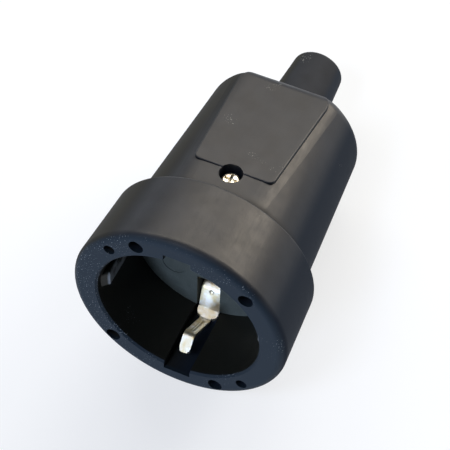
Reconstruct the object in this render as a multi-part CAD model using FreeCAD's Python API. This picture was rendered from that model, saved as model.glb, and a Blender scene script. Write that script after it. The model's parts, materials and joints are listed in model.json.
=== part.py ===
import FreeCAD, Part
import math
import os

Vector = FreeCAD.Vector

# Inline socket connector, in millimetres. It is drawn with its axis along Y: the recess opens at
# station 0 and the cable sleeve points to +Y. X is to the right and Z is towards the label panel.
# At the end every piece is turned together, so that the connector lies as it comes to rest.

# Clearances between pieces
slide_gap = 0.15
seat_gap = 0.05

# Recess for the plug
recess_mouth_r = 19.75
recess_draft = 1.0
recess_depth = 17.5
recess_edge = 0.5

# Collar and the thick front ring round the recess
ring_width = 6.35
collar_taper = 1.2
collar_back_wall = 2.3
collar_front_round = 2.0
collar_rear_round = 0.6

# Blind holes in the front ring: half of the angles, the other half lies opposite
core_hole_inset = 3.05
core_hole_depth = 8.0
large_core_r = 1.75
small_core_r = 1.35
large_core_angles = (45.0, 115.0)
small_core_angles = (135.0,)

# Guide ribs on the left and right recess walls
rib_height = 1.65
rib_width = 5.2
rib_front = 1.8
rib_ramp = 1.8
rib_round = 0.9

# Grip body behind the collar
grip_length = 43.2
grip_side_wall = 3.15
grip_top_wall = 1.6
grip_rear_half_width = 18.9
grip_rear_half_height = 15.8
grip_crown_r = 250.0
grip_blend_r = 8.0
grip_rear_round = 3.5

# Label panel on the grip
panel_setback = 1.0
panel_front_half_width = 9.7
panel_rear_half_width = 11.5
panel_front_rise = 0.25
panel_rear_rise = 0.1
panel_front_corner_r = 1.6
panel_rear_corner_r = 5.0
panel_edge_round = 0.35
panel_rear_round = 3.2
panel_sink = 5.0

# Cable sleeve
sleeve_length = 20.0
sleeve_root_r = 7.9
sleeve_tip_r = 6.3
sleeve_tip_round = 1.5
cord_bore_r = 4.75

# Chamber inside the grip
seat_width = 2.1
rear_wall = 3.6
chamber_step_gap = 0.5
chamber_rear_gap = 3.5
chamber_funnel = 3.0

# Contact carrier
flange_thickness = 3.0
hub_length = 13.0
floor_web = 3.0
pin_spacing = 19.0
pin_hole_r = 2.8
pin_hole_edge = 0.4
contact_chamber_r = 4.6
floor_mark_r = 2.9
floor_mark_depth = 0.15
floor_mark_x = -8.8
floor_mark_z = -6.1

# Contact sleeves, their rings and their terminals
contact_front_gap = 0.3
contact_bore_r = 2.42
contact_wall = 0.7
contact_mouth = 1.0
contact_mouth_flare = 0.42
contact_bore_depth = 11.5
contact_slit = 0.8
contact_slit_depth = 7.0
contact_shoulder = 2.4
contact_spring_wall = 0.6
contact_spring_length = 4.0
contact_spring_setback = 1.6
terminal_half = 3.75
terminal_head_gap = 0.5
terminal_end = 4.5
wire_hole_r = 1.7
wire_hole_depth = 7.0

# Small screws: clamping screws of the terminals, cover screws and cord clamp screws
terminal_screw_r = 1.7
terminal_head_r = 2.5
cover_screw_r = 1.25
cover_head_r = 2.2
clamp_screw_r = 1.4
clamp_head_r = 1.9
small_head_height = 1.7
head_slot = 0.8
head_slot_depth = 0.8

# Earth clips: a strip that comes out of the floor, lies out to the wall, and bends into the recess
clip_thickness = 0.7
clip_width = 5.2
clip_tongue_width = 2.7
clip_bend_r = 0.9
clip_leg_bend_r = 1.6
clip_leg_inset = 5.75
clip_foot_length = 5.0
clip_foot_depth = 4.9
clip_rise_depth = 2.7
clip_fold_depth = 0.75
clip_fold_reach = 0.75
clip_root_reach = 1.3
clip_root_rise = 1.8
clip_knee_station = 7.0
clip_knee_inset = 4.4
clip_tip_station = 3.9
clip_tip_inset = 1.15
clip_shoulder_r = 1.1
clip_shoulder_setback = 0.55
clip_tip_r = 1.2
clip_rib_r = 0.5
clip_rib_rise = 0.25
clip_dimple_r = 1.1
clip_dimple_depth = 0.22
clip_dimple_setback = 1.7
clip_window_gap = 0.75
clip_foot_gap = 0.6
groove_side_gap = 0.65
groove_floor_gap = 0.2

# Earth bridge and rivets
bridge_thickness = 0.9
earth_terminal_half_height = 3.5
rivet_r = 1.0
rivet_head_r = 1.8
rivet_head_height = 0.6
rivet_setback = 2.7

# Housing screw, the boss it passes and its square nut
screw_hole_r = 2.75
screw_head_r = 2.2
screw_head_height = 2.0
screw_head_round = 0.6
screw_head_depth = 2.0
screw_shank_r = 1.75
screw_point = 0.4
screw_recess_width = 0.8
screw_recess_reach = 1.5
screw_recess_depth = 1.1
boss_half_width = 4.3
boss_front_gap = 0.1
boss_rear_length = 4.0
boss_low = 10.6
nut_setback = 0.6
nut_half = 3.2
nut_thickness = 2.8

# Carrier cover with the cord tongue, and the saddle that clamps a cord on it
cover_thickness = 2.5
cover_screw_x = 7.5
cover_screw_gap = 0.4
cover_screw_bite = 6.5
tongue_gap = 0.25
tongue_thickness = 3.0
clamp_setback = 11.5
clamp_length = 6.0
clamp_wall = 1.6
clamp_ear_thickness = 2.5
clamp_head_gap = 0.2
cord_gap = 0.35
clamp_screw_bite = 2.2

# Stations and radii that follow from the sizes above
collar_r = recess_mouth_r + ring_width
collar_rear_r = collar_r - collar_taper
collar_rear = recess_depth + collar_back_wall
recess_floor_r = recess_mouth_r - recess_draft
seat = recess_depth + flange_thickness
chamber_r = recess_floor_r - seat_width
chamber_rear_r = grip_rear_half_height - rear_wall
grip_front_half_width = recess_floor_r + grip_side_wall
grip_front_half_height = recess_floor_r + grip_top_wall
grip_rear = collar_rear + grip_length
grip_slope = (grip_front_half_height - grip_rear_half_height) / (grip_rear - recess_depth)
grip_side_slope = (grip_front_half_width - grip_rear_half_width) / (grip_rear - recess_depth)
sleeve_rear = grip_rear + sleeve_length
rib_tip = recess_mouth_r - rib_height

clip_leg_height = recess_floor_r - clip_leg_inset
clip_foot_height = clip_leg_height - clip_foot_length
clip_fold_height = recess_floor_r + clip_fold_reach
clip_root_height = recess_mouth_r + clip_root_reach
clip_knee_height = recess_mouth_r - clip_knee_inset
clip_tip_height = recess_mouth_r - clip_tip_inset
clip_fold_station = recess_depth + clip_fold_depth
clip_root_station = recess_depth - clip_root_rise
clip_foot_front = recess_depth + clip_foot_depth
window_half_width = 0.5 * clip_width + 2 * slide_gap
window_inner = clip_foot_height - clip_foot_gap
window_outer = clip_leg_height + 0.5 * clip_thickness + clip_window_gap
groove_half_width = 0.5 * clip_width + groove_side_gap
groove_bottom = clip_root_height + 0.5 * clip_thickness + groove_floor_gap
bridge_front = clip_foot_front + clip_thickness
bridge_rear = bridge_front + bridge_thickness
rivet_height = clip_leg_height - rivet_setback
rivet_rear = bridge_rear + rivet_head_height

screw_station = rivet_rear + nut_setback + nut_half
boss_front = rivet_rear + boss_front_gap
boss_rear = screw_station + boss_rear_length
panel_front = screw_station + panel_setback
screw_head_top = grip_rear_half_height + grip_slope * (grip_rear - screw_station) - screw_head_depth
screw_head_low = screw_head_top - screw_head_height
screw_end = boss_low - nut_thickness - screw_point

hub_rear = seat + hub_length
hub_r = chamber_r - slide_gap
floor_rear = recess_depth + floor_web
contact_front = floor_rear + contact_front_gap
contact_outer_r = contact_bore_r + contact_wall
cover_rear = hub_rear + cover_thickness
terminal_screw_station = cover_rear + terminal_head_r + terminal_head_gap
terminal_rear = terminal_screw_station + terminal_end

cord_r = cord_bore_r - cord_gap
arch_r = cord_r + clamp_wall
clamp_screw_x = arch_r + clamp_head_r + clamp_head_gap
clamp_front = cover_rear + clamp_setback
clamp_rear = clamp_front + clamp_length
tongue_top = -terminal_half - tongue_gap
tongue_low = tongue_top - tongue_thickness
tongue_half_width = clamp_screw_x + clamp_head_r + clamp_head_gap
cover_screw_z = cover_head_r + cover_screw_gap - tongue_low
chamber_step = cover_rear + chamber_step_gap
chamber_rear = clamp_rear + chamber_rear_gap
tiny = 0.001


def turned(profile):
    """Solid of revolution about the axis from (radius, station) points."""
    points = [Vector(radius, station, 0) for radius, station in profile]
    face = Part.Face(Part.makePolygon(points + points[:1]))
    return face.revolve(Vector(0, 0, 0), Vector(0, 1, 0), 360)


def drum(radius, start, end, x=0.0, z=0.0):
    """Cylinder along the axis between two stations."""
    return Part.makeCylinder(radius, end - start, Vector(x, start, z), Vector(0, 1, 0))


def cone(start_r, end_r, start, end, x=0.0, z=0.0):
    """Cone along the axis between two stations, with its seam on the underside."""
    base = Vector(x, start, z)
    axis = Vector(0, 1, 0)
    shape = Part.makeCone(start_r, end_r, end - start, base, axis)
    shape.rotate(base, axis, 180)
    return shape


def post(radius, low, high, x, station):
    """Upright cylinder between two heights."""
    return Part.makeCylinder(radius, high - low, Vector(x, station, low))


def block(half_width, start, end, low, high, x=0.0):
    """Box centred on x, between two stations and two heights."""
    return Part.makeBox(2 * half_width, end - start, high - low, Vector(x - half_width, start, low))


def side_plate(outline, half_width):
    """Plate across the axis, centred on x = 0, from (station, height) points."""
    points = [Vector(-half_width, station, height) for station, height in outline]
    face = Part.Face(Part.makePolygon(points + points[:1]))
    return face.extrude(Vector(2 * half_width, 0, 0))


def top_plate(outline, low, high):
    """Upright plate from (x, station) points."""
    points = [Vector(x, station, low) for x, station in outline]
    face = Part.Face(Part.makePolygon(points + points[:1]))
    return face.extrude(Vector(0, 0, high - low))


def edges_at_station(shape, station):
    """Edges that lie wholly at one station."""
    return [edge for edge in shape.Edges
            if abs(edge.BoundBox.YMin - station) < tiny and abs(edge.BoundBox.YMax - station) < tiny]


def mirrored_in_x(shape):
    return shape.mirror(Vector(0, 0, 0), Vector(1, 0, 0))


def mirrored_in_z(shape):
    return shape.mirror(Vector(0, 0, 0), Vector(0, 0, 1))


def grip_half_height(station):
    """Height of the crowned top above the axis."""
    return grip_rear_half_height + grip_slope * (grip_rear - station)


def collar():
    """Tapered collar with a rounded front edge."""
    shape = cone(collar_r, collar_rear_r, 0, collar_rear)
    shape = shape.makeFillet(collar_front_round, edges_at_station(shape, 0))
    return shape.makeFillet(collar_rear_round, edges_at_station(shape, collar_rear))


def grip_crown():
    """Long cylinder, with its seam underneath, whose upper side is the grip's crowned and sloping top."""
    slope_angle = math.atan(grip_slope)
    along = Vector(0, math.cos(slope_angle), -math.sin(slope_angle))
    upright = Vector(0, math.sin(slope_angle), math.cos(slope_angle))
    start = Vector(0, grip_rear, grip_rear_half_height) - upright * grip_crown_r - along * 2 * grip_length
    shape = Part.makeCylinder(grip_crown_r, 4 * grip_length, start, along)
    shape.rotate(start, along, 180)
    return shape


def grip():
    """Grip body: a cone flattened by two crowns, with blended long edges and a rounded rear edge."""
    crown = grip_crown()
    shape = cone(grip_front_half_width, grip_rear_half_width, recess_depth, grip_rear)
    shape = shape.common(crown).common(mirrored_in_z(crown))
    long_edges = [edge for edge in shape.Edges if edge.BoundBox.YLength > 0.5 * grip_length
                  and edge.BoundBox.ZLength > 0.5 * grip_slope * grip_length]
    shape = shape.makeFillet(grip_blend_r, long_edges)
    return shape.makeFillet(grip_rear_round, edges_at_station(shape, grip_rear))


def label_panel():
    """Flat panel, wider towards the rear, that stands up at the front and runs out at the rear edge."""
    front_top = grip_half_height(panel_front) + panel_front_rise
    drop = front_top - grip_rear_half_height - panel_rear_rise
    slope_angle = math.atan(drop / (grip_rear - panel_front))
    length = (grip_rear - panel_front) / math.cos(slope_angle)
    wide = panel_rear_half_width
    low_front = Vector(-wide, 0, -panel_sink)
    top_start = Vector(-wide, 0, 0)
    top_end = Vector(-wide, length - panel_rear_round, 0)
    turn = panel_rear_round * math.sqrt(0.5)
    turn_middle = top_end + Vector(0, turn, turn - panel_rear_round)
    rear_top = Vector(-wide, length, -panel_rear_round)
    rear_low = Vector(-wide, length, -panel_sink)
    outline = Part.Wire([
        Part.LineSegment(low_front, top_start).toShape(),
        Part.LineSegment(top_start, top_end).toShape(),
        Part.Arc(top_end, turn_middle, rear_top).toShape(),
        Part.LineSegment(rear_top, rear_low).toShape(),
        Part.LineSegment(rear_low, low_front).toShape(),
    ])
    shape = Part.Face(outline).extrude(Vector(2 * wide, 0, 0))
    narrow = panel_front_half_width
    plan = top_plate([(-narrow, 0), (narrow, 0), (wide, length), (-wide, length)], -panel_sink, 0)
    upright = [edge for edge in plan.Edges if edge.BoundBox.ZLength > tiny]
    plan = plan.makeFillet(panel_front_corner_r, [edge for edge in upright if edge.BoundBox.YMax < tiny])
    upright = [edge for edge in plan.Edges
               if edge.BoundBox.ZLength > tiny and edge.BoundBox.YMin > length - tiny]
    shape = shape.common(plan.makeFillet(panel_rear_corner_r, upright))
    rim = [edge for edge in shape.Edges
           if edge.BoundBox.ZMin > -tiny and edge.BoundBox.YMin < length - 2 * panel_rear_round]
    shape = shape.makeFillet(panel_edge_round, rim)
    shape.rotate(Vector(0, 0, 0), Vector(1, 0, 0), -math.degrees(slope_angle))
    shape.translate(Vector(0, panel_front, front_top))
    return shape


def cable_sleeve():
    """Tapered sleeve at the rear, rooted in the grip, with a rounded tip."""
    shape = cone(sleeve_root_r, sleeve_tip_r, grip_rear - grip_rear_round, sleeve_rear)
    return shape.makeFillet(sleeve_tip_round, edges_at_station(shape, sleeve_rear))


def housing_hollow():
    """Recess, carrier seat, wiring chamber and cord bore in one turned form."""
    return turned([
        (0, 0),
        (recess_mouth_r + recess_edge, 0),
        (recess_mouth_r, recess_edge),
        (recess_floor_r, recess_depth),
        (recess_floor_r, seat),
        (chamber_r, seat),
        (chamber_r, chamber_step),
        (chamber_rear_r, chamber_rear),
        (cord_bore_r, chamber_rear + chamber_funnel),
        (cord_bore_r, sleeve_rear),
        (0, sleeve_rear),
    ])


def guide_rib():
    """Rib on the right wall of the recess, with a ramp at its front and rounded inner edges."""
    root = recess_mouth_r + recess_edge
    outline = [(root, rib_front), (recess_mouth_r, rib_front), (rib_tip, rib_front + rib_ramp),
               (rib_tip, seat), (root, seat)]
    shape = top_plate(outline, -0.5 * rib_width, 0.5 * rib_width)
    inner = [edge for edge in shape.Edges
             if edge.BoundBox.ZLength < tiny and edge.BoundBox.XMax < recess_mouth_r + tiny]
    return shape.makeFillet(rib_round, inner)


def screw_boss():
    """Boss inside the grip that the housing screw pulls against."""
    return block(boss_half_width, boss_front, boss_rear, boss_low, chamber_r + 0.5 * grip_top_wall)


def clip_groove():
    """Groove in the upper recess wall that an earth clip slides and springs in."""
    rise = (clip_root_height - clip_fold_height) / (clip_fold_station - clip_root_station)
    foot = clip_fold_station + clip_thickness
    foot_height = clip_fold_height + 0.5 * clip_thickness + groove_floor_gap
    slope_front = foot - (groove_bottom - foot_height) / rise
    outline = [(0, clip_leg_height), (0, groove_bottom), (slope_front, groove_bottom),
               (foot, foot_height), (foot, clip_leg_height)]
    return side_plate(outline, groove_half_width)


def core_holes():
    """Blind holes that thin the front ring, each with its opposite."""
    holes = []
    for radius, angles in ((large_core_r, large_core_angles), (small_core_r, small_core_angles)):
        for angle in angles:
            for opposite in (0.0, 180.0):
                turn = math.radians(angle + opposite)
                reach = recess_mouth_r + core_hole_inset
                x = reach * math.cos(turn)
                z = reach * math.sin(turn)
                holes.append(drum(radius, 0, core_hole_depth, x, z))
    return holes


def housing():
    """One moulding: front ring, collar, recess wall, grip, label panel and cable sleeve."""
    shape = collar().fuse([grip(), label_panel(), cable_sleeve()])
    shape = shape.cut(housing_hollow())
    rib = guide_rib()
    shape = shape.fuse([rib, mirrored_in_x(rib), screw_boss()])
    groove = clip_groove()
    screw_hole = post(screw_hole_r, screw_head_low, grip_front_half_height + collar_r, 0, screw_station)
    shank_hole = post(screw_shank_r + slide_gap, 0, screw_head_low, 0, screw_station)
    return shape.cut([groove, mirrored_in_z(groove), screw_hole, shank_hole] + core_holes())


def contact_carrier():
    """Insert with the recess floor, the contact chambers, the earth slot and the nut pocket."""
    shape = drum(recess_floor_r - slide_gap, recess_depth, seat).fuse(drum(hub_r, seat, hub_rear))
    cuts = [drum(floor_mark_r, recess_depth, recess_depth + floor_mark_depth, floor_mark_x, floor_mark_z)]
    rib_notch = block(0.5 * rib_height + slide_gap, recess_depth, seat,
                      -0.5 * rib_width - slide_gap, 0.5 * rib_width + slide_gap, rib_tip + 0.5 * rib_height)
    cuts += [rib_notch, mirrored_in_x(rib_notch)]
    for side in (-1, 1):
        x = 0.5 * side * pin_spacing
        cuts.append(drum(pin_hole_r, recess_depth, floor_rear, x))
        cuts.append(cone(pin_hole_r + pin_hole_edge, pin_hole_r,
                         recess_depth, recess_depth + pin_hole_edge, x))
        cuts.append(drum(contact_chamber_r, floor_rear, hub_rear, x))
        cuts.append(drum(cover_screw_r + seat_gap, hub_rear - cover_screw_bite, hub_rear,
                         side * cover_screw_x, -side * cover_screw_z))
    window = block(window_half_width, recess_depth, bridge_front, window_inner, window_outer)
    channel = clip_channel()
    cuts += [window, mirrored_in_z(window), channel, mirrored_in_z(channel)]
    cuts.append(block(window_half_width, bridge_front, hub_rear, -window_outer - slide_gap,
                      window_outer + slide_gap))
    cuts.append(block(boss_half_width + slide_gap, boss_front - slide_gap, hub_rear,
                      boss_low - slide_gap, chamber_r + grip_top_wall))
    cuts.append(block(nut_half + slide_gap, screw_station - nut_half - slide_gap,
                      screw_station + nut_half + slide_gap, boss_low - nut_thickness - slide_gap, boss_low))
    return shape.cut(cuts)


def clip_points():
    """Centre line of the upper earth clip, from its foot to its tip, as (station, height)."""
    return [
        (clip_foot_front + 0.5 * clip_thickness, clip_foot_height),
        (clip_foot_front + 0.5 * clip_thickness, clip_leg_height),
        (recess_depth + clip_rise_depth, clip_leg_height),
        (clip_fold_station, clip_fold_height),
        (clip_root_station, clip_root_height),
        (clip_knee_station, clip_knee_height),
        (clip_tip_station, clip_tip_height),
    ]


def clip_channel():
    """Sloping channel in the carrier that the upper clip lies in between its window and the rim."""
    inner_station = recess_depth + clip_rise_depth
    run = clip_fold_height - clip_leg_height
    slope = (inner_station - clip_fold_station) / run
    drop = (0.5 * clip_thickness + seat_gap) * math.hypot(1, slope)
    outer = recess_mouth_r
    outer_station = inner_station - slope * (outer - clip_leg_height)
    outline = [(recess_depth, clip_leg_height), (inner_station + drop, clip_leg_height),
               (outer_station + drop, outer), (recess_depth, outer)]
    return side_plate(outline, window_half_width)


def offset_path(points, bend_radii, offset):
    """Edges of a centre line moved sideways, with its corners as arcs round the same bend centres."""
    steps = [(b - a).normalize() for a, b in zip(points, points[1:])]
    normals = [Vector(0, -step.z, step.y) for step in steps]
    moved = [points[0] + normals[0] * offset]
    for corner, first, second in zip(points[1:], normals, normals[1:]):
        moved.append(corner + (first + second) * (offset / (1 + first.dot(second))))
    moved.append(points[-1] + normals[-1] * offset)
    edges = []
    last = moved[0]
    for index in range(1, len(points) - 1):
        before = steps[index - 1]
        after = steps[index]
        turn = 1 if before.cross(after).x > 0 else -1
        radius = bend_radii[index - 1] - turn * offset
        half = 0.5 * before.getAngle(after)
        corner = moved[index]
        start = corner - before * (radius * math.tan(half))
        end = corner + after * (radius * math.tan(half))
        inward = (after - before).normalize()
        middle = corner + inward * (radius / math.cos(half) - radius)
        edges.append(Part.LineSegment(last, start).toShape())
        edges.append(Part.Arc(start, middle, end).toShape())
        last = end
    edges.append(Part.LineSegment(last, moved[-1]).toShape())
    return edges, moved[0], moved[-1]


def clip_strip():
    """Bent strip of the full width, before its tongue is trimmed."""
    points = [Vector(-0.5 * clip_width, station, height) for station, height in clip_points()]
    bend_radii = [clip_bend_r] * (len(points) - 2)
    bend_radii[1] = clip_leg_bend_r
    near, near_start, near_end = offset_path(points, bend_radii, 0.5 * clip_thickness)
    far, far_start, far_end = offset_path(points, bend_radii, -0.5 * clip_thickness)
    caps = [Part.LineSegment(near_end, far_end).toShape(), Part.LineSegment(far_start, near_start).toShape()]
    outline = Part.Wire(Part.__sortEdges__(near + far + caps))
    return Part.Face(outline).extrude(Vector(clip_width, 0, 0))


def clip_planform():
    """Outline of the clip seen along Z: wide at the floor, with round shoulders and a round tip."""
    wide = 0.5 * clip_width
    narrow = 0.5 * clip_tongue_width
    tip = clip_tip_station - 0.5 * clip_thickness
    shoulder = clip_root_station + clip_shoulder_setback
    rear = bridge_front
    outline = [(-narrow, tip), (narrow, tip), (narrow, shoulder), (wide, shoulder),
               (wide, rear), (-wide, rear), (-wide, shoulder), (-narrow, shoulder)]
    shape = top_plate(outline, 0, collar_r)
    upright = [edge for edge in shape.Edges if edge.BoundBox.ZLength > tiny]
    tip_edges = [edge for edge in upright if edge.BoundBox.YMax < tip + tiny]
    shoulder_edges = [edge for edge in upright if abs(edge.BoundBox.YMax - shoulder) < tiny
                      and abs(edge.BoundBox.XMax) + abs(edge.BoundBox.XMin) > 2 * wide - tiny]
    return shape.makeFillet(clip_tip_r, tip_edges).makeFillet(clip_shoulder_r, shoulder_edges)


def clip_rib():
    """Stiffening bead pressed along the middle of the tongue, on the side that faces the axis."""
    points = [Vector(0, station, height) for station, height in clip_points()]
    root = points[4]
    knee = points[5]
    along = (knee - root).normalize()
    inward = Vector(0, along.z, -along.y)
    if inward.z > 0:
        inward = inward * -1
    lift = 0.5 * clip_thickness - clip_rib_r + clip_rib_rise
    margin = 2 * clip_bend_r
    start = root + along * margin + inward * lift
    length = (knee - root).Length - 2 * margin
    bead = Part.makeCylinder(clip_rib_r, length, start, along)
    ends = [Part.makeSphere(clip_rib_r, place) for place in (start, start + along * length)]
    return bead.fuse(ends)


def clip_dimple():
    """Ball that presses a round dimple into the base, next to the bend of the leg."""
    points = [Vector(0, station, height) for station, height in clip_points()]
    leg = points[2]
    along = (points[3] - leg).normalize()
    outward = Vector(0, -along.z, along.y)
    lift = 0.5 * clip_thickness + clip_dimple_r - clip_dimple_depth
    return Part.makeSphere(clip_dimple_r, leg + along * clip_dimple_setback + outward * lift)


def rivet_places():
    return [rivet_height, -rivet_height]


def earth_clip_upper():
    """Spring strip: foot, leg, sloping base with its dimple, fold, tongue with its bead, knee and tip."""
    shape = clip_strip().common(clip_planform()).fuse(clip_rib())
    rivet_hole = drum(rivet_r + seat_gap, clip_foot_front, bridge_front, 0, rivet_height)
    return shape.cut([rivet_hole, clip_dimple()])


def earth_clip_lower():
    return mirrored_in_z(earth_clip_upper())


def earth_bridge():
    """Bar that joins both clips behind the floor, with the earth terminal on its middle."""
    half = 0.5 * clip_width
    reach = clip_leg_height + 0.5 * clip_thickness
    shape = block(half, bridge_front, bridge_rear, -reach, reach)
    shape = shape.fuse(block(half, bridge_rear, terminal_rear,
                             -earth_terminal_half_height, earth_terminal_half_height))
    cuts = [drum(rivet_r + seat_gap, bridge_front, bridge_rear, 0, z) for z in rivet_places()]
    cuts.append(drum(wire_hole_r, terminal_rear - wire_hole_depth, terminal_rear))
    cuts.append(post(terminal_screw_r + seat_gap, 0, earth_terminal_half_height, 0, terminal_screw_station))
    return shape.cut(cuts)


def earth_rivet_upper():
    """Rivet through a clip's foot and the bridge, with a head on both sides."""
    z = rivet_height
    shank = drum(rivet_r, clip_foot_front, bridge_rear, 0, z)
    heads = [drum(rivet_head_r, clip_foot_front - rivet_head_height, clip_foot_front, 0, z),
             drum(rivet_head_r, bridge_rear, rivet_rear, 0, z)]
    return shank.fuse(heads)


def earth_rivet_lower():
    return mirrored_in_z(earth_rivet_upper())


def contact_sleeve(side):
    """Slit sleeve for one pin, with the shoulder that the cover holds and the terminal behind it."""
    x = 0.5 * side * pin_spacing
    shoulder_r = contact_chamber_r - slide_gap
    shape = drum(contact_outer_r, contact_front, hub_rear, x)
    shape = shape.fuse([drum(shoulder_r, hub_rear - contact_shoulder, hub_rear, x),
                        block(terminal_half, hub_rear, terminal_rear, -terminal_half, terminal_half, x)])
    mouth_r = contact_bore_r + contact_mouth_flare
    slit_rear = contact_front + contact_slit_depth
    cuts = [
        drum(contact_bore_r, contact_front, contact_front + contact_bore_depth, x),
        cone(mouth_r, contact_bore_r, contact_front, contact_front + contact_mouth, x),
        block(0.5 * contact_slit, contact_front, slit_rear, -contact_outer_r, contact_outer_r, x),
        drum(wire_hole_r, terminal_rear - wire_hole_depth, terminal_rear, x),
        post(terminal_screw_r + seat_gap, 0, terminal_half, x, terminal_screw_station),
    ]
    return shape.cut(cuts)


def contact_spring(side):
    """Open steel ring that keeps the slit sleeve closed on its pin."""
    x = 0.5 * side * pin_spacing
    start = contact_front + contact_spring_setback
    end = start + contact_spring_length
    inner_r = contact_outer_r + seat_gap
    outer_r = inner_r + contact_spring_wall
    ring = drum(outer_r, start, end, x).cut(drum(inner_r, start, end, x))
    return ring.cut(block(contact_slit, start, end, 0, outer_r, x))


def slotted_screw(shank_r, head_r, shank_length):
    """Slotted screw that points down, with the underside of its head at the origin."""
    shape = post(shank_r, -shank_length, 0, 0, 0).fuse(post(head_r, 0, small_head_height, 0, 0))
    slot = block(head_r, -0.5 * head_slot, 0.5 * head_slot,
                 small_head_height - head_slot_depth, small_head_height)
    return shape.cut(slot)


def terminal_screw(x, top):
    """Clamping screw of a terminal, down to its wire hole."""
    shape = slotted_screw(terminal_screw_r, terminal_head_r, top - wire_hole_r)
    shape.translate(Vector(x, terminal_screw_station, top))
    return shape


def carrier_cover():
    """Plate behind the carrier with windows for the terminals, and the tongue that a cord lies on."""
    shape = drum(hub_r, hub_rear, cover_rear)
    shape = shape.fuse(block(tongue_half_width, hub_rear, clamp_rear, tongue_low, tongue_top))
    shape = shape.cut(block(boss_half_width + slide_gap, hub_rear, cover_rear,
                            boss_low - slide_gap, chamber_r))
    window = terminal_half + slide_gap
    cuts = [block(0.5 * clip_width + slide_gap, hub_rear, cover_rear,
                  -earth_terminal_half_height - slide_gap, earth_terminal_half_height + slide_gap)]
    for side in (-1, 1):
        cuts.append(block(window, hub_rear, cover_rear, -window, window, 0.5 * side * pin_spacing))
        cuts.append(drum(cover_screw_r + slide_gap, hub_rear, cover_rear,
                         side * cover_screw_x, -side * cover_screw_z))
        cuts.append(post(clamp_screw_r + seat_gap, tongue_top - clamp_screw_bite, tongue_top,
                         side * clamp_screw_x, 0.5 * (clamp_front + clamp_rear)))
    return shape.cut(cuts)


def cover_screw(side):
    """Screw that holds the cover to the carrier."""
    shape = slotted_screw(cover_screw_r, cover_head_r, cover_thickness + cover_screw_bite - slide_gap)
    shape.rotate(Vector(0, 0, 0), Vector(1, 0, 0), -90)
    shape.translate(Vector(side * cover_screw_x, cover_rear, -side * cover_screw_z))
    return shape


def cord_clamp():
    """Saddle with an arch over the cord's place and an ear on each side."""
    ear_top = tongue_top + clamp_ear_thickness
    shape = drum(arch_r, clamp_front, clamp_rear)
    shape = shape.fuse(block(arch_r, clamp_front, clamp_rear, tongue_top, 0))
    shape = shape.fuse(block(tongue_half_width, clamp_front, clamp_rear, tongue_top, ear_top))
    shape = shape.cut(block(2 * arch_r, clamp_front, clamp_rear, tongue_top - 2 * arch_r, tongue_top))
    cuts = [drum(cord_r, clamp_front, clamp_rear), block(cord_r, clamp_front, clamp_rear, tongue_top, 0)]
    for side in (-1, 1):
        cuts.append(post(clamp_screw_r + seat_gap, tongue_top, ear_top,
                         side * clamp_screw_x, 0.5 * (clamp_front + clamp_rear)))
    return shape.cut(cuts)


def clamp_screw(side):
    """Screw that pulls one ear of the saddle down on the tongue."""
    ear_top = tongue_top + clamp_ear_thickness
    length = clamp_ear_thickness + clamp_screw_bite - slide_gap
    shape = slotted_screw(clamp_screw_r, clamp_head_r, length)
    shape.translate(Vector(side * clamp_screw_x, 0.5 * (clamp_front + clamp_rear), ear_top))
    return shape


def housing_screw():
    """Pan head screw with a cross recess, deep in the hole at the label panel."""
    shank = post(screw_shank_r, screw_end, screw_head_low, 0, screw_station)
    head = post(screw_head_r, screw_head_low, screw_head_top, 0, screw_station)
    head = head.makeFillet(screw_head_round,
                           [edge for edge in head.Edges if edge.BoundBox.ZMin > screw_head_top - tiny])
    low = screw_head_top - screw_recess_depth
    half = 0.5 * screw_recess_width
    across = block(screw_recess_reach, screw_station - half, screw_station + half, low, screw_head_top)
    along = block(half, screw_station - screw_recess_reach, screw_station + screw_recess_reach,
                  low, screw_head_top)
    return shank.fuse(head).cut([across, along])


def housing_nut():
    """Square nut that the screw pulls up against the boss."""
    shape = block(nut_half, screw_station - nut_half, screw_station + nut_half,
                  boss_low - nut_thickness, boss_low)
    return shape.cut(post(screw_shank_r + seat_gap, boss_low - nut_thickness, boss_low, 0, screw_station))


def rim_centre(side_r, slope, radius):
    """Distance from the axis to the centre of a rounded rim between a flat end and a sloping side."""
    return side_r - slope * radius - radius * math.hypot(1, slope)


def resting_place():
    """Tilt and shift of the connector when it lies on its collar's rear rim and its grip's rear edge."""
    collar_slope = collar_taper / collar_rear
    front_r = rim_centre(collar_r, collar_slope, collar_front_round)
    rim_r = rim_centre(collar_rear_r, -collar_slope, collar_rear_round)
    rim_y = collar_rear - collar_rear_round
    edge_r = rim_centre(grip_rear_half_height, -grip_slope, grip_rear_round)
    edge_y = grip_rear - grip_rear_round
    sleeve_slope = (sleeve_root_r - sleeve_tip_r) / (sleeve_length + grip_rear_round)
    tip_r = rim_centre(sleeve_tip_r, -sleeve_slope, sleeve_tip_round)
    tip_y = sleeve_rear - sleeve_tip_round
    span = math.hypot(edge_y - rim_y, rim_r - edge_r)
    tilt = math.atan2(rim_r - edge_r, edge_y - rim_y)
    tilt += math.asin((collar_rear_round - grip_rear_round) / span)
    lift = rim_y * math.sin(tilt) + rim_r * math.cos(tilt) + collar_rear_round
    foremost = collar_front_round * math.cos(tilt) - front_r * math.sin(tilt) - collar_front_round
    rearmost = tip_y * math.cos(tilt) + tip_r * math.sin(tilt) + sleeve_tip_round
    return math.degrees(tilt), Vector(0, -0.5 * (foremost + rearmost), lift)


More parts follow.
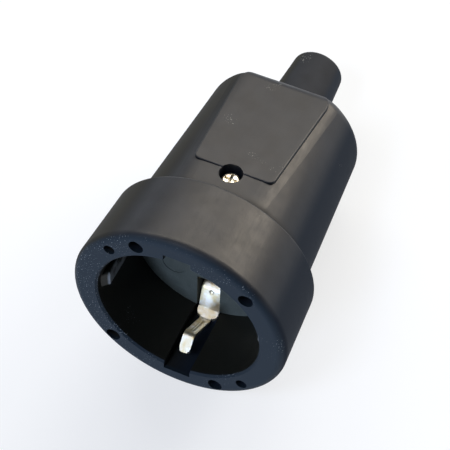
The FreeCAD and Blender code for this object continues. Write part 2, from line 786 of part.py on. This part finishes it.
pieces = {
    "housing": housing(),
    "contact_carrier": contact_carrier(),
    "carrier_cover": carrier_cover(),
    "earth_clip_upper": earth_clip_upper(),
    "earth_clip_lower": earth_clip_lower(),
    "earth_bridge": earth_bridge(),
    "earth_rivet_upper": earth_rivet_upper(),
    "earth_rivet_lower": earth_rivet_lower(),
    "earth_terminal_screw": terminal_screw(0.0, earth_terminal_half_height),
    "housing_screw": housing_screw(),
    "housing_nut": housing_nut(),
    "cord_clamp": cord_clamp(),
}
for name, side in (("left", -1), ("right", 1)):
    pieces["contact_sleeve_" + name] = contact_sleeve(side)
    pieces["contact_spring_" + name] = contact_spring(side)
    pieces["terminal_screw_" + name] = terminal_screw(0.5 * side * pin_spacing, terminal_half)
    pieces["cover_screw_" + name] = cover_screw(side)
    pieces["clamp_screw_" + name] = clamp_screw(side)

tilt_degrees, shift = resting_place()
os.makedirs("parts", exist_ok=True)
for name, shape in pieces.items():
    shape.rotate(Vector(0, 0, 0), Vector(1, 0, 0), -tilt_degrees)
    shape.translate(shift)
    shape.exportStep("parts/" + name + ".step")
    print(name, "solids", len(shape.Solids), "volume", round(shape.Volume, 1), "valid", shape.isValid())
print("tilt", round(tilt_degrees, 3), "shift", [round(value, 3) for value in shift])
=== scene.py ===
# %% [markdown]
# # An inline socket connector
# The real object is the socket half of a lead's coupling: one moulded housing, a carrier set in
# behind the recess, spring earth clips, contacts, screws and a cord clamp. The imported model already
# holds every rigid piece at full size, so this lesson loads it and dresses it.

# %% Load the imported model
import json
import math

import bmesh
import bpy
from mathutils import Matrix, Vector

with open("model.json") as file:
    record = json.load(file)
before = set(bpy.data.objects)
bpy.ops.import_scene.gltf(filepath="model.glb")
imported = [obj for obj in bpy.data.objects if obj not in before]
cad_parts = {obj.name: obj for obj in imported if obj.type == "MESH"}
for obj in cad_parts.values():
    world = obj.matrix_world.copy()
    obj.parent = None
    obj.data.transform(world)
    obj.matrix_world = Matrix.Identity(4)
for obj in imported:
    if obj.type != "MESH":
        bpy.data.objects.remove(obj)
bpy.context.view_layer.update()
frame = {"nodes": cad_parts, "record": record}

MM = 0.001

# %% [markdown]
# ## The connector's own directions
# The connector lies on its collar and on the rear edge of its grip, so its axis dips towards the
# tail. A finish that runs round the axis needs that line. It could be typed in, but the cord's
# entry in the record already gives a point on the axis and its direction, so it is read there.

# %% Find the axis, the mouth and the label side
axis_length = 83.0 * MM

mounts = {mount["name"]: mount for mount in frame["record"]["mounts"]}
tail_way = Vector(mounts["cord_entry"]["axis"]).normalized()
right_way = Vector((1.0, 0.0, 0.0))
label_way = right_way.cross(tail_way)
entry_length = mounts["cord_entry"]["dims"]["length_mm"] * MM
sleeve_end = Vector(mounts["cord_entry"]["pos_m"]) + tail_way * entry_length / 2
mouth = sleeve_end - tail_way * axis_length
axes = Matrix((right_way, tail_way, label_way)).transposed()
print("mouth in mm", [round(v / MM, 2) for v in mouth])
print("dip in degrees", round(math.degrees(math.asin(-tail_way.z)), 2))

# %% [markdown]
# ## The camera
# The photograph looks down on the mouth from the right, with a long lens held a little crooked.
# A camera could be aimed with a constraint, but its place is clearer as an azimuth, an elevation,
# a distance and a roll round one point on the connector.

# %% Place the camera
camera_azimuth = math.radians(31.48)
camera_elevation = math.radians(63.04)
camera_roll = math.radians(-8.43)
camera_distance = 415.94 * MM
camera_aim = Vector((-1.046, -10.673, 22.379)) * MM
camera_lens = 144.44
camera_sensor = 36.0
nearest_seen = 10 * MM
farthest_seen = 50.0


def way_from(azimuth, elevation):
    """Direction at an azimuth from the mouth's side, towards the right, and an elevation."""
    level = math.cos(elevation)
    return Vector((math.sin(azimuth) * level, -math.cos(azimuth) * level, math.sin(elevation)))


scene = bpy.context.scene
camera = bpy.data.objects.new("camera", bpy.data.cameras.new("camera"))
scene.collection.objects.link(camera)
scene.camera = camera
camera.data.lens = camera_lens
camera.data.sensor_width = camera_sensor
camera.data.clip_start = nearest_seen
camera.data.clip_end = farthest_seen
towards_camera = way_from(camera_azimuth, camera_elevation)
camera.location = camera_aim + towards_camera * camera_distance
upright = (-towards_camera).to_track_quat("-Z", "Y").to_matrix()
camera.rotation_euler = (upright @ Matrix.Rotation(camera_roll, 3, "Z")).to_euler()
print("camera at mm", [round(v / MM, 1) for v in camera.location])

# %% [markdown]
# ## Colours and nodes
# Every finish below is built from shader nodes. Colours are written as the hex values that a
# picture editor shows, and a renderer counts in linear light, so one function turns one into the
# other. Each node could be made, set and linked line by line, but one more function that does all
# three keeps the materials short.

# %% Two helpers for materials
def linear(hex_code):
    """Linear colour from an sRGB hex value."""
    channels = [int(hex_code[start:start + 2], 16) / 255 for start in (1, 3, 5)]
    return [c / 12.92 if c <= 0.04045 else ((c + 0.055) / 1.055) ** 2.4 for c in channels] + [1.0]


def add_node(tree, kind, settings, links):
    """Add a node, set its properties and sockets, and link sockets to outputs or whole nodes."""
    node = tree.nodes.new("ShaderNode" + kind)
    for name, value in settings.items():
        if str(name) in node.bl_rna.properties:
            setattr(node, name, value)
        else:
            node.inputs[name].default_value = value
    for name, source in links.items():
        if isinstance(source, bpy.types.Node):
            source = next(output for output in source.outputs if output.enabled)
        tree.links.new(source, node.inputs[name])
    return node


print("mid grey in linear light", [round(v, 3) for v in linear("#808080")])

# %% [markdown]
# ## The floor and the sky
# The photograph shows the connector on plain white with a soft grey halo. A pale card floor takes
# the shade, and a little light of its own brings its open part up to white. That light is only for
# what the camera, a mirror or glass sees, so the plastic mirrors it but its colour is not lit by it.
# Brighter lamps would whiten the card too, but they would wash out the black plastic.

# %% A dim sky and a card to lie on
floor_size = 6.0
sky_colour = "#d5e4ff"
sky_strength = 0.04

scene.view_settings.view_transform = "Standard"
world = bpy.data.worlds.new("studio sky")
scene.world = world
world.use_nodes = True
sky = world.node_tree.nodes["Background"]
sky.inputs["Color"].default_value = linear(sky_colour)
sky.inputs["Strength"].default_value = sky_strength

floor_mesh = bpy.data.meshes.new("floor")
floor_shape = bmesh.new()
bmesh.ops.create_grid(floor_shape, x_segments=1, y_segments=1, size=floor_size / 2)
floor_shape.to_mesh(floor_mesh)
floor_shape.free()
floor = bpy.data.objects.new("floor", floor_mesh)
scene.collection.objects.link(floor)
print("floor of", floor_size, "m, sky of strength", sky_strength)

# %% The card's own light
# The card is a cool grey, which evens out the warm lamps, and it has no shine.
card_colour = "#929aa6"
card_roughness = 0.9
card_glow = 0.66

card = bpy.data.materials.new("pale card")
card.use_nodes = True
card_tree = card.node_tree
card_shader = card_tree.nodes["Principled BSDF"]
card_shader.inputs["Base Color"].default_value = linear(card_colour)
card_shader.inputs["Roughness"].default_value = card_roughness
card_shader.inputs["Specular IOR Level"].default_value = 0.0
card_shader.inputs["Emission Color"].default_value = linear("#ffffff")
rays = add_node(card_tree, "LightPath", {}, {})
larger = {"operation": "MAXIMUM"}
bounced = {0: rays.outputs["Is Glossy Ray"], 1: rays.outputs["Is Transmission Ray"]}
mirrored = add_node(card_tree, "Math", larger, bounced)
seen = add_node(card_tree, "Math", larger, {0: rays.outputs["Is Camera Ray"], 1: mirrored})
glow = add_node(card_tree, "Math", {"operation": "MULTIPLY", 1: card_glow}, {0: seen})
card_tree.links.new(glow.outputs["Value"], card_shader.inputs["Emission Strength"])
floor_mesh.materials.append(card)
print("card with a glow of", card_glow)

# %% [markdown]
# ## The lamps
# Warm grey highlights lie along the crown and the right shoulder, so warm soft boxes stand behind
# the tail, where those faces mirror them to the camera. The front ring is blue-black and the clip
# in the recess is bright, so a cool one stands low before the mouth, and a small one above it.
# These could be painted on the sky, but an area lamp has a size, a place and a power to read.

# %% Soft boxes one metre away
lamp_distance = 1.0


def add_soft_box(name, azimuth, elevation, width, height, power, colour):
    """Area lamp at two angles in degrees, of a size in metres and a power in watts."""
    light = bpy.data.lights.new(name, "AREA")
    light.shape = "RECTANGLE"
    light.size = width
    light.size_y = height
    light.energy = power
    light.color = linear(colour)[:3]
    lamp = bpy.data.objects.new(name, light)
    way = way_from(math.radians(azimuth), math.radians(elevation))
    lamp.location = camera_aim + way * lamp_distance
    lamp.rotation_euler = way.to_track_quat("Z", "Y").to_euler()
    scene.collection.objects.link(lamp)
    print(name, "at mm", [round(v / MM) for v in lamp.location])


add_soft_box("tail soft box", 185, 39, 0.5, 0.4, 5.5, "#fff2de")
add_soft_box("right shoulder soft box", 150, 23, 0.5, 0.4, 9.6, "#fff0da")
add_soft_box("left shoulder soft box", 224, 38, 0.5, 0.4, 4.0, "#fff4e2")
add_soft_box("mouth soft box", -15, 12, 0.22, 0.36, 6.0, "#cfe2ff")
add_soft_box("top soft box", -28, 60, 0.25, 0.25, 2.3, "#eef2ff")

# %% [markdown]
# ## Millimetres along the connector
# A finish that differs between the recess, the front ring and the grip needs to know where a point
# lies along the axis and how far from it. Coordinates generated from each piece's box would stretch
# from piece to piece. The object's own coordinates, turned and moved to the mouth, give millimetres
# that are the same for all pieces, and they stay with the object in every view.

# %% A material with coordinates in the connector's frame
def new_material(name):
    """Material, its tree, its shader and millimetres: x right, y along the axis, z to the label."""
    material = bpy.data.materials.new(name)
    material.use_nodes = True
    tree = material.node_tree
    place = add_node(tree, "TexCoord", {}, {})
    to_mouth = {
        "vector_type": "TEXTURE",
        "Location": mouth,
        "Rotation": axes.to_euler(),
        "Scale": (MM, MM, MM),
    }
    where = add_node(tree, "Mapping", to_mouth, {"Vector": place.outputs["Object"]})
    return material, tree, tree.nodes["Principled BSDF"], where


print("frame turned by degrees", [round(math.degrees(v), 2) for v in axes.to_euler()])

# %% [markdown]
# ## Regions of the housing
# One moulding can carry several textures, because each face of the mould was finished in its own
# way. The recess was shaped by a polished core, the sides and the cable sleeve by spark-eroded
# steel, and since then hands have rubbed the crown and plugs have rubbed the guide ribs. On top, the
# sides get painted shade, the left side painted light and the rib crests a painted highlight. Faces
# could be given separate materials, but a mask from the distance to the axis and the station along
# it has softer borders.

# %% Distances that the masks read
# Hands rub the crown. Its lighter colour reaches a little onto the right shoulder, where the
# highlight lies, so the crown's side is turned; the sides beyond it get painted shade.
lit_and_rubbed_turn = math.radians(10)
lit_and_rubbed_way = (math.sin(lit_and_rubbed_turn), 0, math.cos(lit_and_rubbed_turn))

housing_plastic, tree, shader, where = new_material("moulded black polyamide")
across = add_node(tree, "VectorMath", {"operation": "MULTIPLY", 1: (1, 0, 1)}, {0: where})
radius = add_node(tree, "VectorMath", {"operation": "LENGTH"}, {0: across})
distances = add_node(tree, "SeparateXYZ", {}, {"Vector": where})
rightward = distances.outputs["X"]
station = distances.outputs["Y"]
# The crown is the cosine of the angle round the axis from the lit and rubbed side.
lit_and_rubbed = add_node(tree, "VectorMath", {"operation": "DOT_PRODUCT", 1: lit_and_rubbed_way}, {0: where})
crown = add_node(tree, "Math", {"operation": "DIVIDE"}, {0: lit_and_rubbed, 1: radius})
print("masks read the radius, the station and the side")

# %% Masks of the regions
# Sizes of the housing in millimetres. The ends are stations counted from the mouth.
rim_rounding = 2.0
recess_radius = 19.75
recess_depth = 17.5
crest_radius = 18.1
collar_rear_radius = 24.9
collar_end = 19.8
grip_end = 63.0

# Each mask goes softly from nothing at the first value to full at the second.
edges = {
    "front ring": (station, 0.65 * rim_rounding, 0.2 * rim_rounding),
    "bore": (radius, recess_radius + 0.55, recess_radius + 0.2),
    "behind the lip": (station, 0.3, 0.9),
    "before the floor": (station, recess_depth + 0.5, recess_depth + 0.1),
    "near the axis": (radius, crest_radius + 0.6, crest_radius + 0.2),
    "behind the collar": (station, collar_end - 0.6, collar_end - 0.2),
    "close to the collar": (station, collar_end + 4.2, collar_end + 0.6),
    "under the rim": (radius, collar_rear_radius - 1.5, collar_rear_radius - 2.9),
    "sides": (crown, 0.82, 0.58),
    "left of the axis": (rightward, 4.0, -4.0),
    "cable sleeve": (station, grip_end - 0.4, grip_end + 0.4),
}
meetings = (
    ("recess", "bore", "behind the lip"),
    ("recess", "recess", "before the floor"),
    ("rib crests", "recess", "near the axis"),
    # On the left the sides are painted a neutral grey, as painted light.
    ("lit left side", "sides", "left of the axis"),
    # Painted shade in the step behind the collar, kept below the collar's rim.
    ("corner", "behind the collar", "close to the collar"),
    ("corner", "corner", "under the rim"),
)
mask = {}
for name, (value, nothing, full) in edges.items():
    ends = {"interpolation_type": "SMOOTHSTEP", "From Min": nothing, "From Max": full}
    mask[name] = add_node(tree, "MapRange", ends, {"Value": value})
for name, first, second in meetings:
    mask[name] = add_node(tree, "Math", {"operation": "MULTIPLY"}, {0: mask[first], 1: mask[second]})
print("masks:", ", ".join(mask))

# %% [markdown]
# ## The housing's colour
# Black polyamide is never one black. To the eye it is a warm grey where it shines, blue-black where
# it does not, and it drifts a little where the melt flowed. The sides are painted a darker blue-black
# as painted shade, the left side a neutral grey as painted light, and the ring's blue is a painted
# reflection of cool light. The recess looks nearly empty, and painted shade darkens the corner
# behind the collar. One ramp could hold every tone, but layers over a ramp of noise are easier to
# change, because each layer is one mask and one colour.

# %% Layers of black
flow_size = 6.0
haze_size = 2.6
flow_tones = ((0.32, "#191f29"), (0.72, "#222833"))

flow = add_node(tree, "TexNoise", {"Scale": 1 / flow_size, "Detail": 5.0}, {"Vector": where})
colour = add_node(tree, "ValToRGB", {}, {"Fac": flow})
for stop, (position, tone) in zip(colour.color_ramp.elements, flow_tones):
    stop.position = position
    stop.color = linear(tone)
haze = add_node(tree, "TexNoise", {"Scale": 1 / haze_size, "Detail": 5.0}, {"Vector": where})
patchy = add_node(tree, "MapRange", {"From Min": 0.35, "From Max": 0.55}, {"Value": haze})
# Pale patches on the rib crests are a painted highlight.
rib_crest_highlight = add_node(tree, "Math", {"operation": "MULTIPLY"}, {0: mask["rib crests"], 1: patchy})
layers = (
    # Painted shade: the sides are a colder, darker blue-black, with a painted cool reflection.
    (mask["sides"], "#101e30"),
    # Painted light: the left side is a neutral grey instead of the sides' blue.
    (mask["lit left side"], "#1b1d1c"),
    # Painted reflection: the ring's blue stands for cool light mirrored in the black plastic.
    (mask["front ring"], "#11222f"),
    (mask["recess"], "#1c1d19"),
    # Painted shade darkens the corner behind the collar.
    (mask["corner"], "#080c12"),
    # A pale painted highlight on the crests of the guide ribs.
    (rib_crest_highlight, "#979b9f"),
)
for region, tone in layers:
    over = {"data_type": "RGBA", "B": linear(tone)}
    colour = add_node(tree, "Mix", over, {"Factor": region, "A": colour})
print("blacks in", len(layers) + 1, "layers")

# %% [markdown]
# ## Dust on the housing
# A dark part shows every speck of lint. It gathers in patches on the front ring, where plugs drag
# it, most of all on the left, and in a few other places. Loose particles could be scattered as
# meshes, but at a third of a millimetre they are only points of colour, so peaks of fine noise
# stand for them.

# %% Lint in patches
lint_size = 0.32
lint_colour = "#8b9296"
patch_size = 8.0
ring_left_end = -22.0

lint = add_node(tree, "TexNoise", {"Scale": 1 / lint_size, "Detail": 1.0}, {"Vector": where})
specks = add_node(tree, "MapRange", {"From Min": 0.66, "From Max": 0.72}, {"Value": lint})
patch = add_node(tree, "TexNoise", {"Scale": 1 / patch_size, "Detail": 1.0}, {"Vector": where})
to_left = {"From Min": 0.0, "From Max": ring_left_end, "To Max": 0.22}
drift = add_node(tree, "MapRange", to_left, {"Value": rightward})
gathered = add_node(tree, "Math", {"operation": "ADD"}, {0: patch, 1: drift})
dusty = add_node(tree, "MapRange", {"From Min": 0.48, "From Max": 0.66}, {"Value": gathered})
very_dusty = add_node(tree, "MapRange", {"From Min": 0.7, "From Max": 0.78}, {"Value": patch})
on_ring = add_node(tree, "Math", {"operation": "MULTIPLY"}, {0: mask["front ring"], 1: dusty})
anywhere = add_node(tree, "Math", {"operation": "MAXIMUM"}, {0: on_ring, 1: very_dusty})
dust = add_node(tree, "Math", {"operation": "MULTIPLY"}, {0: specks, 1: anywhere})
over = {"data_type": "RGBA", "B": linear(lint_colour)}
colour = add_node(tree, "Mix", over, {"Factor": dust, "A": colour})
tree.links.new(colour.outputs["Result"], shader.inputs["Base Color"])
print("lint of", lint_size, "mm in patches of", patch_size, "mm")

# %% [markdown]
# ## The housing's gloss
# Gloss tells the eye more about black plastic than colour does. The crown has a satin sheen, uneven
# from handling and with faint rub marks along the axis, the spark-eroded faces are matt, and the
# core left the recess smoother. One roughness would make it look like a toy, so each mask has its
# own over the uneven satin, and the masks keep the borders soft.

# %% Roughness by region
rub_width = 0.5
rub_length = 9.0

stretch = {"Scale": (1 / rub_width, 1 / rub_length, 1 / rub_width)}
along = add_node(tree, "Mapping", stretch, {"Vector": where})
rub = add_node(tree, "TexNoise", {"Scale": 1.0, "Detail": 2.0}, {"Vector": along})
marks = add_node(tree, "MapRange", {"To Min": -0.06, "To Max": 0.06}, {"Value": rub})
satin = add_node(tree, "MapRange", {"To Min": 0.36, "To Max": 0.54}, {"Value": haze})
gloss = add_node(tree, "Math", {"operation": "ADD"}, {0: satin, 1: marks})
textures = {
    "sides": 0.92,
    "lit left side": 0.78,
    "front ring": 0.7,
    "corner": 0.8,
    "cable sleeve": 0.82,
    "recess": 0.45,
    "rib crests": 0.62,
}
for name, roughness in textures.items():
    over = {"data_type": "FLOAT", "B": roughness}
    gloss = add_node(tree, "Mix", over, {"Factor": mask[name], "A": gloss})
tree.links.new(gloss.outputs["Result"], shader.inputs["Roughness"])
print("roughness of", len(textures) + 1, "regions")

# %% [markdown]
# ## The housing's grain
# Spark erosion leaves tiny pits in the mould, and the plastic copies them as a fine grain. To the
# eye it breaks up the edge of every reflection. Real pits would take millions of faces, so a bump
# in the material stands for them.

# %% Fine grain of the moulding
# Spark-erosion grain is about 0.05 mm, too fine to show here, so it is drawn eight times coarser.
grain_size = 0.4
moulded_relief = {"Strength": 0.3, "Distance": 0.02 * MM}
polyamide_ior = 1.53
# A film of dust takes some of the shine away everywhere.
dusty_shine = 0.3

grain = add_node(tree, "TexNoise", {"Scale": 1 / grain_size, "Detail": 2.0}, {"Vector": where})
bump = add_node(tree, "Bump", moulded_relief, {"Height": grain})
tree.links.new(bump.outputs["Normal"], shader.inputs["Normal"])
shader.inputs["IOR"].default_value = polyamide_ior
shader.inputs["Specular IOR Level"].default_value = dusty_shine
print(housing_plastic.name, "with", len(tree.nodes), "nodes")

# %% [markdown]
# ## The carrier's plastic
# The carrier behind the recess, its cover and the cord clamp are moulded in a stiffer, glass-filled
# polyamide. It has no polish: to the eye it is dull, a little greenish and finely flecked. A plain
# grey would do from far away, but flecks and cloudy gloss keep it from looking painted.

# %% Moulded glass-filled polyamide
cloud_size = 3.0
cloud_tones = ((0.3, "#383f3c"), (0.7, "#444b48"))
# The glass fibres are about 0.2 mm long, and their flecks are drawn a little coarser to show.
fleck_size = 0.5
fleck_colour = "#7b807c"

carrier_plastic, tree, shader, where = new_material("moulded glass-filled polyamide")
cloud = add_node(tree, "TexNoise", {"Scale": 1 / cloud_size, "Detail": 4.0}, {"Vector": where})
colour = add_node(tree, "ValToRGB", {}, {"Fac": cloud})
for stop, (position, tone) in zip(colour.color_ramp.elements, cloud_tones):
    stop.position = position
    stop.color = linear(tone)
cells = add_node(tree, "TexVoronoi", {"Scale": 1 / fleck_size}, {"Vector": where})
pale = {"From Min": 0.2, "From Max": 0.05, "To Max": 0.4}
flecks = add_node(tree, "MapRange", pale, {"Value": cells})
over = {"data_type": "RGBA", "B": linear(fleck_colour)}
colour = add_node(tree, "Mix", over, {"Factor": flecks, "A": colour})
tree.links.new(colour.outputs["Result"], shader.inputs["Base Color"])
dull = add_node(tree, "MapRange", {"To Min": 0.55, "To Max": 0.75}, {"Value": cloud})
tree.links.new(dull.outputs["Result"], shader.inputs["Roughness"])
bump = add_node(tree, "Bump", moulded_relief, {"Height": cells})
tree.links.new(bump.outputs["Normal"], shader.inputs["Normal"])
shader.inputs["IOR"].default_value = polyamide_ior
print(carrier_plastic.name, "with", len(tree.nodes), "nodes")

# %% [markdown]
# ## The metals
# The earth clips are stamped from brass strip and nickel plated: to the eye nearly white where they
# face the light, and golden where the plating is thin. Rolling leaves fine lines along the strip.
# The contacts are plain drawn brass with brown tarnish, and the screws, the nut and the spring rings
# are zinc-plated steel with a soft grey shine. Anisotropic gloss could stand for the lines, but noise
# stretched along the axis shows them too and needs no tangents. One recipe serves all three.

# %% Plated and plain metal
coating_size = 1.6
# Drawing lines are about 0.05 mm apart, too fine to show, so they are drawn coarser.
line_width = 0.3
line_length = 5.0
drawn_relief = {"Strength": 0.15, "Distance": 0.01 * MM}


def drawn_metal(name, bright, dull, smooth, rough):
    """Metal with a cloudy coating in two tones and lines along the axis that vary its roughness."""
    material, tree, shader, where = new_material(name)
    coating = add_node(tree, "TexNoise", {"Scale": 1 / coating_size, "Detail": 3.0}, {"Vector": where})
    tint = add_node(tree, "ValToRGB", {}, {"Fac": coating})
    for stop, (position, tone) in zip(tint.color_ramp.elements, ((0.3, dull), (0.66, bright))):
        stop.position = position
        stop.color = linear(tone)
    tree.links.new(tint.outputs["Color"], shader.inputs["Base Color"])
    stretch = {"Scale": (1 / line_width, 1 / line_length, 1 / line_width)}
    along = add_node(tree, "Mapping", stretch, {"Vector": where})
    lines = add_node(tree, "TexNoise", {"Scale": 1.0, "Detail": 2.0}, {"Vector": along})
    shine = add_node(tree, "MapRange", {"To Min": smooth, "To Max": rough}, {"Value": lines})
    tree.links.new(shine.outputs["Result"], shader.inputs["Roughness"])
    bump = add_node(tree, "Bump", drawn_relief, {"Height": lines})
    tree.links.new(bump.outputs["Normal"], shader.inputs["Normal"])
    shader.inputs["Metallic"].default_value = 1.0
    print(name, "with", len(tree.nodes), "nodes")
    return material


nickel_plate = drawn_metal("nickel-plated brass strip", "#fdfaf2", "#e8d6a6", 0.42, 0.6)
contact_brass = drawn_metal("drawn contact brass", "#d8b266", "#a57f3c", 0.25, 0.5)
zinc_plate = drawn_metal("zinc-plated steel", "#efece2", "#c9c3b2", 0.25, 0.45)

# %% [markdown]
# ## Dressing the pieces
# The record already says which slot each piece takes its material from, so the finishes are handed
# out by slot. Naming every piece here would say the same thing twice.

# %% Hand out the finishes
finishes = {
    "housing_plastic": housing_plastic,
    "carrier_plastic": carrier_plastic,
    "plated_clip": nickel_plate,
    "contact_brass": contact_brass,
    "plated_steel": zinc_plate,
}
for subpart in frame["record"]["subparts"]:
    node = frame["nodes"][subpart["node"]]
    node.data.materials.clear()
    node.data.materials.append(finishes[subpart["material_slot"]])
